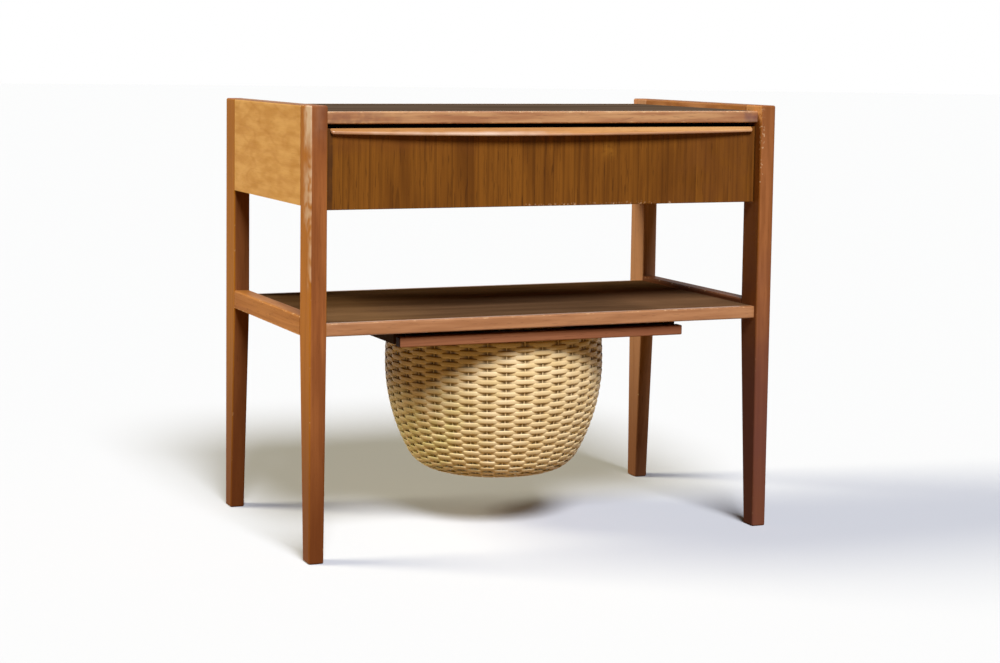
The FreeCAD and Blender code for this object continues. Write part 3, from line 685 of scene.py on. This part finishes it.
plainBeech = {"pale": "#CDA87B", "deep": "#BD9463", "line": "#B28350", "pore": "#9C6E40"}
drawerBeech = {
    "drawer_side_left": {"grain": "Y", "seed": 31.0},
    "drawer_side_right": {"grain": "Y", "seed": 32.0},
    "drawer_back": {"grain": "X", "seed": 33.0},
}
birchPlywood = {"grain": "X", "pale": "#CBAA7C", "deep": "#BD9A6A", "line": "#A9834F",
                "pore": "#9A7543", "seed": 36.0, "roughness": 0.5}
beechDowel = {**plainBeech, "grain": "X", "seed": 38.0}
for node, look in drawerBeech.items():
    board(node, "plainBeech_" + node, {**plainBeech, "roughness": 0.5, **look})
board("drawer_bottom", "birchPlywoodBottom", birchPlywood)
for node in ("top_dowels", "shelf_dowels"):
    board(node, "beechDowel_" + node, beechDowel)

# Basket tray: a bar of oiled teak whose end faces carry painted deep shade, a stained plywood
# board, and runners of a plain hardwood that years of sliding have darkened

# painted shade: the bar's end faces are near black
paintedEndShade = {"patch": 20.0, "soft": (0.3, 1, 1), "grit": 9.0, "gritFrom": (0.0, 0.1), "share": 0.9,
           "colour": "#24160D"}
frontBar = {
    "grain": "X", "pale": "#98664A", "deep": "#89573F", "line": "#5E3626", "seed": 25.0,
    "wearWidth": 1.0, "specular": 0.02,
    "zones": ({"low": (-190, -160, 230), "high": (-183.3, -130, 265), **paintedEndShade},
              {"low": (183.3, -160, 230), "high": (190, -130, 265), **paintedEndShade}),
}
stainedPlywood = {"grain": "X", "pale": "#7A5A36", "deep": "#66482A", "line": "#4A321C",
                  "seed": 29.0, "roughness": 0.6}
darkenedHardwood = {"grain": "Y", "pale": "#4E3820", "deep": "#3C2A18", "line": "#2C1C10",
                    "roughness": 0.6, "specular": 0.02}
runnerSeeds = {"basket_runner_left": 41.0, "basket_runner_right": 42.0,
               "drawer_runner_left": 43.0, "drawer_runner_right": 44.0}
board("basket_front_bar", "oiledTeakBar", frontBar, edgesOf("basket_front_bar"))
board("basket_board", "stainedPlywoodBoard", stainedPlywood)
for node, seed in runnerSeeds.items():
    board(node, "darkenedHardwood_" + node, {**darkenedHardwood, "seed": seed})

# Screws, which hardly show

zincSteel = {"dark": "#56534E", "light": "#76736C", "mottle": 1.2, "roughness": 0.4,
             "roughnessSpread": 0.2}


def screwSteel(values):
    # zinc-plated steel gone dull: a dark cool grey metal with a soft broken gleam
    material, tree = newMaterial("dulledZincScrewSteel")
    coords = addNode(tree, "ShaderNodeTexCoord", output="Object")
    mottle = addNode(tree, "ShaderNodeTexNoise",
                     {"Vector": coords, "Scale": 1 / (values["mottle"] * mm), "Detail": 3.0})
    colour = addNode(tree, "ShaderNodeMix",
                     {mixShare: mottle, mixUnder: linear(values["dark"]),
                      mixOver: linear(values["light"])}, mixed, data_type="RGBA")
    gloss = addNode(tree, "ShaderNodeMath",
                    (mottle, values["roughnessSpread"], values["roughness"]),
                    operation="MULTIPLY_ADD")
    shader = addNode(tree, "ShaderNodeBsdfPrincipled",
                     {"Base Color": colour, "Roughness": gloss, "Metallic": 1.0})
    addNode(tree, "ShaderNodeOutputMaterial", {"Surface": shader})
    return material


steel = screwSteel(zincSteel)
for node in ("drawer_runner_screws", "basket_runner_screws", "drawer_bottom_screws",
             "basket_rim_screws"):
    dress(node, steel)
print("boards finished")


# Basket: one weaver spirals through an odd number of stakes, so its overs and unders alternate.
# The colours are those of peeled cane, with painted shade where the cane dips behind a stake and a
# painted olive light on the lower left; patterns on it are in millimetres

# painted light: an olive tint on the lower left, where the side lamp's coloured light falls
oliveLightTint = {"low": (-150, -150, 60), "high": (-82, 60, 150), "soft": (40, 60, 50), "patch": 30.0,
            "grit": 12.0, "gritFrom": (0.2, 0.6), "share": 0.6, "colour": "#C4BC6C"}
basket = {
    "centreY": -2 * mm,
    "baseHeight": 63 * mm, "baseRadius": 68.5 * mm, "cornerRadius": 44 * mm,
    "widestHeight": 199 * mm, "widestRadius": 136 * mm,
    "mouthHeight": 238.7 * mm, "mouthRadius": 133.6 * mm,
    "cornerSteps": 14, "flankSteps": 20, "mouthSteps": 8,
    "stakes": 37, "baseStakes": 19, "baseHole": 5 * mm,
    "rowPitch": 4.93 * mm, "caneHeight": 6.4 * mm, "caneThickness": 1.35 * mm,
    "stakeRadius": 0.8 * mm,
    "bulge": 0.8,           # how much longer the cane stays outside a stake than behind it
    "unevenness": 1.1 * mm,     # the band in which a hand-laid cane strays about its row
    "samples": 8, "caneSides": 6, "seed": 7,
}
cane = {
    "pale": "#F0DAB0", "deep": "#E2C896", "fibreAndDipShade": "#76511D", "zone": oliveLightTint,
    "strand": 0.45, "strandShare": 0.6,     # tone along the cane, in cells for each stake passed
    "blotch": 26.0, "blotchShare": 0.4,
    "fine": 1.4,            # real fibres are finer than the render shows
    "toneStep": (0.35, 0.65), "fineStep": (0.55, 0.8), "fineMost": 0.18,
    # painted shade where the cane dips behind a stake
    "dipStep": (0.5, 1.0), "dipMost": 0.7,
    "relief": 0.3, "reliefHeight": 0.2, "roughness": 0.5, "specular": 0.3, "ior": 1.5,
}


def caneMaterial(name, values):
    # peeled cane: smooth honey-coloured strands with fine long fibres, with painted shade where
    # they dip inside; caneDip and caneRun are attributes that the weave stores on its mesh
    material, tree = newMaterial(name)
    coords = addNode(tree, "ShaderNodeTexCoord", output="Object")
    dip, run = [addNode(tree, "ShaderNodeAttribute", output="Fac", attribute_type="GEOMETRY",
                        attribute_name=label) for label in ("caneDip", "caneRun")]
    strand = addNode(tree, "ShaderNodeTexNoise",
                     {"W": run, "Scale": values["strand"], "Detail": 2.0}, noise_dimensions="1D")
    blotch = addNode(tree, "ShaderNodeTexNoise",
                     {"Vector": coords, "Scale": 1 / (values["blotch"] * mm), "Detail": 3.0})
    fine = addNode(tree, "ShaderNodeTexNoise",
                   {"Vector": coords, "Scale": 1 / (values["fine"] * mm), "Detail": 2.0})
    spread = addNode(tree, "ShaderNodeMath", (blotch, values["blotchShare"]),
                     operation="MULTIPLY")
    tone = addNode(tree, "ShaderNodeMath", (strand, values["strandShare"], spread),
                   operation="MULTIPLY_ADD")
    toneMask, fineMask, dipShadeMask = [
        addNode(tree, "ShaderNodeMapRange",
                {"Value": value, "From Min": least, "From Max": most, "To Max": top}, **smooth)
        for value, (least, most), top in ((tone, values["toneStep"], 1.0),
                                          (fine, values["fineStep"], values["fineMost"]),
                                          (dip, values["dipStep"], values["dipMost"]))]
    colour = addNode(tree, "ShaderNodeMix",
                     {mixShare: toneMask, mixUnder: linear(values["pale"]),
                      mixOver: linear(values["deep"])}, mixed, data_type="RGBA")
    # painted olive light on the lower left
    zone = values["zone"]
    layers = ((zoneMask(tree, coords, zone), zone["colour"]), (fineMask, values["fibreAndDipShade"]),
              (dipShadeMask, values["fibreAndDipShade"]))
    for mask, layerColour in layers:
        colour = addNode(tree, "ShaderNodeMix",
                         {mixShare: mask, mixUnder: colour, mixOver: linear(layerColour)},
                         mixed, data_type="RGBA")
    bump = addNode(tree, "ShaderNodeBump",
                   {"Strength": values["relief"], "Distance": values["reliefHeight"] * mm,
                    "Height": fine})
    shader = addNode(tree, "ShaderNodeBsdfPrincipled",
                     {"Base Color": colour, "Normal": bump, "Roughness": values["roughness"],
                      "Specular IOR Level": values["specular"], "IOR": values["ior"]})
    addNode(tree, "ShaderNodeOutputMaterial", {"Surface": shader})
    return material


peeledCane = caneMaterial("peeledCane", cane)


def arcPoints(centre, radius, first, last, count):
    angles = [first + (last - first) * i / count for i in range(count + 1)]
    return [(centre[0] + radius * math.cos(a), 0.0, centre[1] + radius * math.sin(a))
            for a in angles]


def basketOutline(values):
    # the wall's outer face from the base to the mouth, as points in the plane Y = 0: an arc round
    # the base's corner, one up the flank to the widest place and one that draws in to the mouth
    corner = values["cornerRadius"]
    rise = values["widestHeight"] - values["baseHeight"]
    reach = values["widestRadius"] - values["baseRadius"]
    flank = ((rise - corner) ** 2 + reach ** 2 - corner ** 2) / (2 * (reach - corner))
    cornerCentre = (values["baseRadius"], values["baseHeight"] + corner)
    flankCentre = (values["widestRadius"] - flank, values["widestHeight"])
    join = math.atan2(cornerCentre[1] - flankCentre[1], cornerCentre[0] - flankCentre[0])
    mouthRise = values["mouthHeight"] - values["widestHeight"]
    drawIn = values["widestRadius"] - values["mouthRadius"]
    mouth = (mouthRise ** 2 + drawIn ** 2) / (2 * drawIn)
    mouthCentre = (values["widestRadius"] - mouth, values["widestHeight"])
    points = arcPoints(cornerCentre, corner, -math.pi / 2, join, values["cornerSteps"])
    points += arcPoints(flankCentre, flank, join, 0, values["flankSteps"])[1:]
    points += arcPoints(mouthCentre, mouth, 0, math.asin(mouthRise / mouth),
                        values["mouthSteps"])[1:]
    return points


def baseOutline(values):
    # the flat base from its centre hole to where the wall starts
    return [(values["baseHole"], 0, values["baseHeight"]),
            (values["baseRadius"], 0, values["baseHeight"])]


weaveInputs = {"Stakes": "Int", "Samples": "Int", "Cane Sides": "Int", "Seed": "Int",
               "Row Pitch": "Float", "Cane Height": "Float", "Cane Thickness": "Float",
               "Stake Radius": "Float", "Bulge": "Float", "Unevenness": "Float",
               "Outline Length": "Float", "Centre Y": "Float"}
seedSpacing = 13.7      # keeps the unevenness of one seed apart from the next
unevenPace = 0.31       # noise cells for each stake passed


def weaveTree(name, material):
    # Geometry Nodes: turns an outline into stakes and one spiral weaver
    tree = bpy.data.node_groups.new(name, "GeometryNodeTree")
    face = tree.interface
    face.new_socket("Outline", in_out="INPUT", socket_type="NodeSocketGeometry")
    for label, kind in weaveInputs.items():
        face.new_socket(label, in_out="INPUT", socket_type="NodeSocket" + kind)
    face.new_socket("Geometry", in_out="OUTPUT", socket_type="NodeSocketGeometry")
    given = addNode(tree, "NodeGroupInput", output=None)
    outline = addNode(tree, "GeometryNodeMeshToCurve", {"Mesh": given["Outline"]})
    # the cane's middle swings this far to either side of the stakes, which stand half a wall deep
    halfCane = addNode(tree, "ShaderNodeMath", (given["Cane Thickness"], 0.5),
                       operation="MULTIPLY")
    dipReach = addNode(tree, "ShaderNodeMath", (halfCane, given["Stake Radius"]), operation="ADD")
    halfWall = addNode(tree, "ShaderNodeMath", (dipReach, halfCane), operation="ADD")
    perTurn = addNode(tree, "ShaderNodeMath", (given["Stakes"], given["Samples"]),
                      operation="MULTIPLY")
    turns = addNode(tree, "ShaderNodeMath", (given["Outline Length"], given["Row Pitch"]),
                    operation="DIVIDE")
    count = addNode(tree, "ShaderNodeMath", (turns, perTurn), operation="MULTIPLY")
    line = addNode(tree, "GeometryNodeMeshLine", {"Count": count})
    weaver = addNode(tree, "GeometryNodeMeshToCurve", {"Mesh": line})
    index = addNode(tree, "GeometryNodeInputIndex")
    stakePhase = addNode(tree, "ShaderNodeMath", (index, given["Samples"]), operation="DIVIDE")
    turn = addNode(tree, "ShaderNodeMath", (index, perTurn), operation="DIVIDE")
    angle = addNode(tree, "ShaderNodeMath", (turn, 2 * math.pi), operation="MULTIPLY")
    # small uneven steps in height, as hands leave them
    seeded = addNode(tree, "ShaderNodeMath", (given["Seed"], seedSpacing), operation="MULTIPLY")
    place = addNode(tree, "ShaderNodeMath", (stakePhase, unevenPace, seeded),
                    operation="MULTIPLY_ADD")
    uneven = addNode(tree, "ShaderNodeTexNoise", {"W": place, "Scale": 1.0, "Detail": 1.0},
                     noise_dimensions="1D")
    centred = addNode(tree, "ShaderNodeMath", (uneven, noiseMiddle), operation="SUBTRACT")
    climbed = addNode(tree, "ShaderNodeMath", (turn, given["Row Pitch"]), operation="MULTIPLY")
    length = addNode(tree, "ShaderNodeMath", (centred, given["Unevenness"], climbed),
                     operation="MULTIPLY_ADD")
    reached = addNode(tree, "GeometryNodeSampleCurve", {"Curves": outline, "Length": length},
                      None, mode="LENGTH")
    # over one stake and under the next, with a longer stay outside
    halfTurn = addNode(tree, "ShaderNodeMath", (stakePhase, math.pi), operation="MULTIPLY")
    swing = addNode(tree, "ShaderNodeMath", (halfTurn,), operation="COSINE")
    squared = addNode(tree, "ShaderNodeMath", (swing, swing), operation="MULTIPLY")
    crossing = addNode(tree, "ShaderNodeMath", (1.0, squared), operation="SUBTRACT")
    wave = addNode(tree, "ShaderNodeMath", (crossing, given["Bulge"], swing),
                   operation="MULTIPLY_ADD")
    swung = addNode(tree, "ShaderNodeMath", (wave, dipReach), operation="MULTIPLY")
    offset = addNode(tree, "ShaderNodeMath", (swung, halfWall), operation="SUBTRACT")
    tangentX, tangentY, tangentZ = addNode(tree, "ShaderNodeSeparateXYZ", (reached["Tangent"],),
                                           None)
    downward = addNode(tree, "ShaderNodeMath", (tangentX, -1.0), operation="MULTIPLY")
    outward = addNode(tree, "ShaderNodeCombineXYZ", (tangentZ, None, downward))
    pushed = addNode(tree, "ShaderNodeVectorMath", {0: outward, "Scale": offset},
                     operation="SCALE")
    flat = addNode(tree, "ShaderNodeVectorMath", (reached["Position"], pushed), operation="ADD")
    placed, facing = [addNode(tree, "ShaderNodeVectorRotate", {"Vector": vector, "Angle": angle},
                              rotation_type="Z_AXIS") for vector in (flat, outward)]
    weaver = addNode(tree, "GeometryNodeSetPosition", {"Geometry": weaver, "Position": placed})
    weaver = addNode(tree, "GeometryNodeSetCurveNormal", {"Curve": weaver, "Normal": facing},
                     mode="FREE")
    # 0 outside a stake and 1 behind it
    dip = addNode(tree, "ShaderNodeMath", (wave, -0.5, 0.5), operation="MULTIPLY_ADD")
    for label, value in (("caneDip", dip), ("caneRun", stakePhase)):
        weaver = addNode(tree, "GeometryNodeStoreNamedAttribute",
                         {"Geometry": weaver, "Name": label, "Value": value},
                         data_type="FLOAT", domain="POINT")
    section = addNode(tree, "GeometryNodeCurvePrimitiveCircle",
                      {"Resolution": given["Cane Sides"], "Radius": 0.5})
    # turned by half a side, so that a flat of the cane faces outwards
    halfSide = addNode(tree, "ShaderNodeMath", (math.pi, given["Cane Sides"]), operation="DIVIDE")
    flatOut = addNode(tree, "ShaderNodeCombineXYZ", (None, None, halfSide))
    section = addNode(tree, "GeometryNodeTransform", {"Geometry": section, "Rotation": flatOut})
    scale = addNode(tree, "ShaderNodeCombineXYZ",
                    (given["Cane Thickness"], given["Cane Height"], 1.0))
    section = addNode(tree, "GeometryNodeTransform", {"Geometry": section, "Scale": scale})
    woven = addNode(tree, "GeometryNodeCurveToMesh",
                    {"Curve": weaver, "Profile Curve": section, "Fill Caps": True})
    # stakes: the outline sunk by half the wall, once for each stake
    own = addNode(tree, "GeometryNodeInputTangent")
    ownX, ownY, ownZ = addNode(tree, "ShaderNodeSeparateXYZ", (own,), None)
    inwardX = addNode(tree, "ShaderNodeMath", (ownZ, -1.0), operation="MULTIPLY")
    inward = addNode(tree, "ShaderNodeCombineXYZ", (inwardX, None, ownX))
    sunk = addNode(tree, "ShaderNodeVectorMath", {0: inward, "Scale": halfWall},
                   operation="SCALE")
    stake = addNode(tree, "GeometryNodeSetPosition", {"Geometry": outline, "Offset": sunk})
    points = addNode(tree, "GeometryNodePoints", {"Count": given["Stakes"]})
    pointIndex = addNode(tree, "GeometryNodeInputIndex")
    share = addNode(tree, "ShaderNodeMath", (pointIndex, given["Stakes"]), operation="DIVIDE")
    spin = addNode(tree, "ShaderNodeMath", (share, 2 * math.pi), operation="MULTIPLY")
    turned = addNode(tree, "ShaderNodeCombineXYZ", (None, None, spin))
    stakes = addNode(tree, "GeometryNodeInstanceOnPoints",
                     {"Points": points, "Instance": stake, "Rotation": turned})
    stakes = addNode(tree, "GeometryNodeRealizeInstances", {"Geometry": stakes})
    rod = addNode(tree, "GeometryNodeCurvePrimitiveCircle",
                  {"Resolution": given["Cane Sides"], "Radius": given["Stake Radius"]})
    stakes = addNode(tree, "GeometryNodeCurveToMesh",
                     {"Curve": stakes, "Profile Curve": rod, "Fill Caps": True})
    both = addNode(tree, "GeometryNodeJoinGeometry", (stakes,))
    tree.links.new(woven, both.node.inputs[0])
    shift = addNode(tree, "ShaderNodeCombineXYZ", (None, given["Centre Y"]))
    moved = addNode(tree, "GeometryNodeTransform", {"Geometry": both, "Translation": shift})
    rounded = addNode(tree, "GeometryNodeSetShadeSmooth", {"Geometry": moved})
    real = addNode(tree, "GeometryNodeRealizeInstances", {"Geometry": rounded})
    painted = addNode(tree, "GeometryNodeSetMaterial", {"Geometry": real, "Material": material})
    addNode(tree, "NodeGroupOutput", {"Geometry": painted})
    return tree


def growMesh(name, points, edges, tree, inputs):
    # runs a Geometry Nodes tree on a wire and keeps the result as a plain mesh
    wire = bpy.data.meshes.new(name + "Wire")
    wire.from_pydata(points, edges, [])
    holder = bpy.data.objects.new(name + "Wire", wire)
    bpy.context.scene.collection.objects.link(holder)
    modifier = holder.modifiers.new("grow", "NODES")
    modifier.node_group = tree
    sockets = {item.name: item.identifier for item in tree.interface.items_tree
               if item.in_out == "INPUT"}
    for label, value in inputs.items():
        modifier[sockets[label]] = value
    holder.update_tag()
    bpy.context.view_layer.update()
    graph = bpy.context.evaluated_depsgraph_get()
    mesh = bpy.data.meshes.new_from_object(holder.evaluated_get(graph),
                                           preserve_all_data_layers=True, depsgraph=graph)
    mesh.name = name
    bpy.data.objects.remove(holder)
    piece = bpy.data.objects.new(name, mesh)
    bpy.context.scene.collection.objects.link(piece)
    print(name, len(mesh.vertices), "points", len(mesh.polygons), "faces")
    return piece


def weave(name, points, stakes, values, tree):
    pairs = [(i, i + 1) for i in range(len(points) - 1)]
    length = sum((Vector(points[j]) - Vector(points[i])).length for i, j in pairs)
    inputs = {"Stakes": stakes, "Samples": values["samples"], "Cane Sides": values["caneSides"],
              "Seed": values["seed"], "Row Pitch": values["rowPitch"],
              "Cane Height": values["caneHeight"], "Cane Thickness": values["caneThickness"],
              "Stake Radius": values["stakeRadius"], "Bulge": values["bulge"],
              "Unevenness": values["unevenness"], "Outline Length": length,
              "Centre Y": values["centreY"]}
    return growMesh(name, points, pairs, tree, inputs)


caneTree = weaveTree("spiralWeave", peeledCane)
wall = weave("basketWeave", basketOutline(basket), basket["stakes"], basket, caneTree)
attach(wall, "basket_tray")
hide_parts("basket_body")
base = weave("basketBaseWeave", baseOutline(basket), basket["baseStakes"], basket, caneTree)
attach(base, "basket_tray")
dress("basket_rim", peeledCane)
print("basket woven")
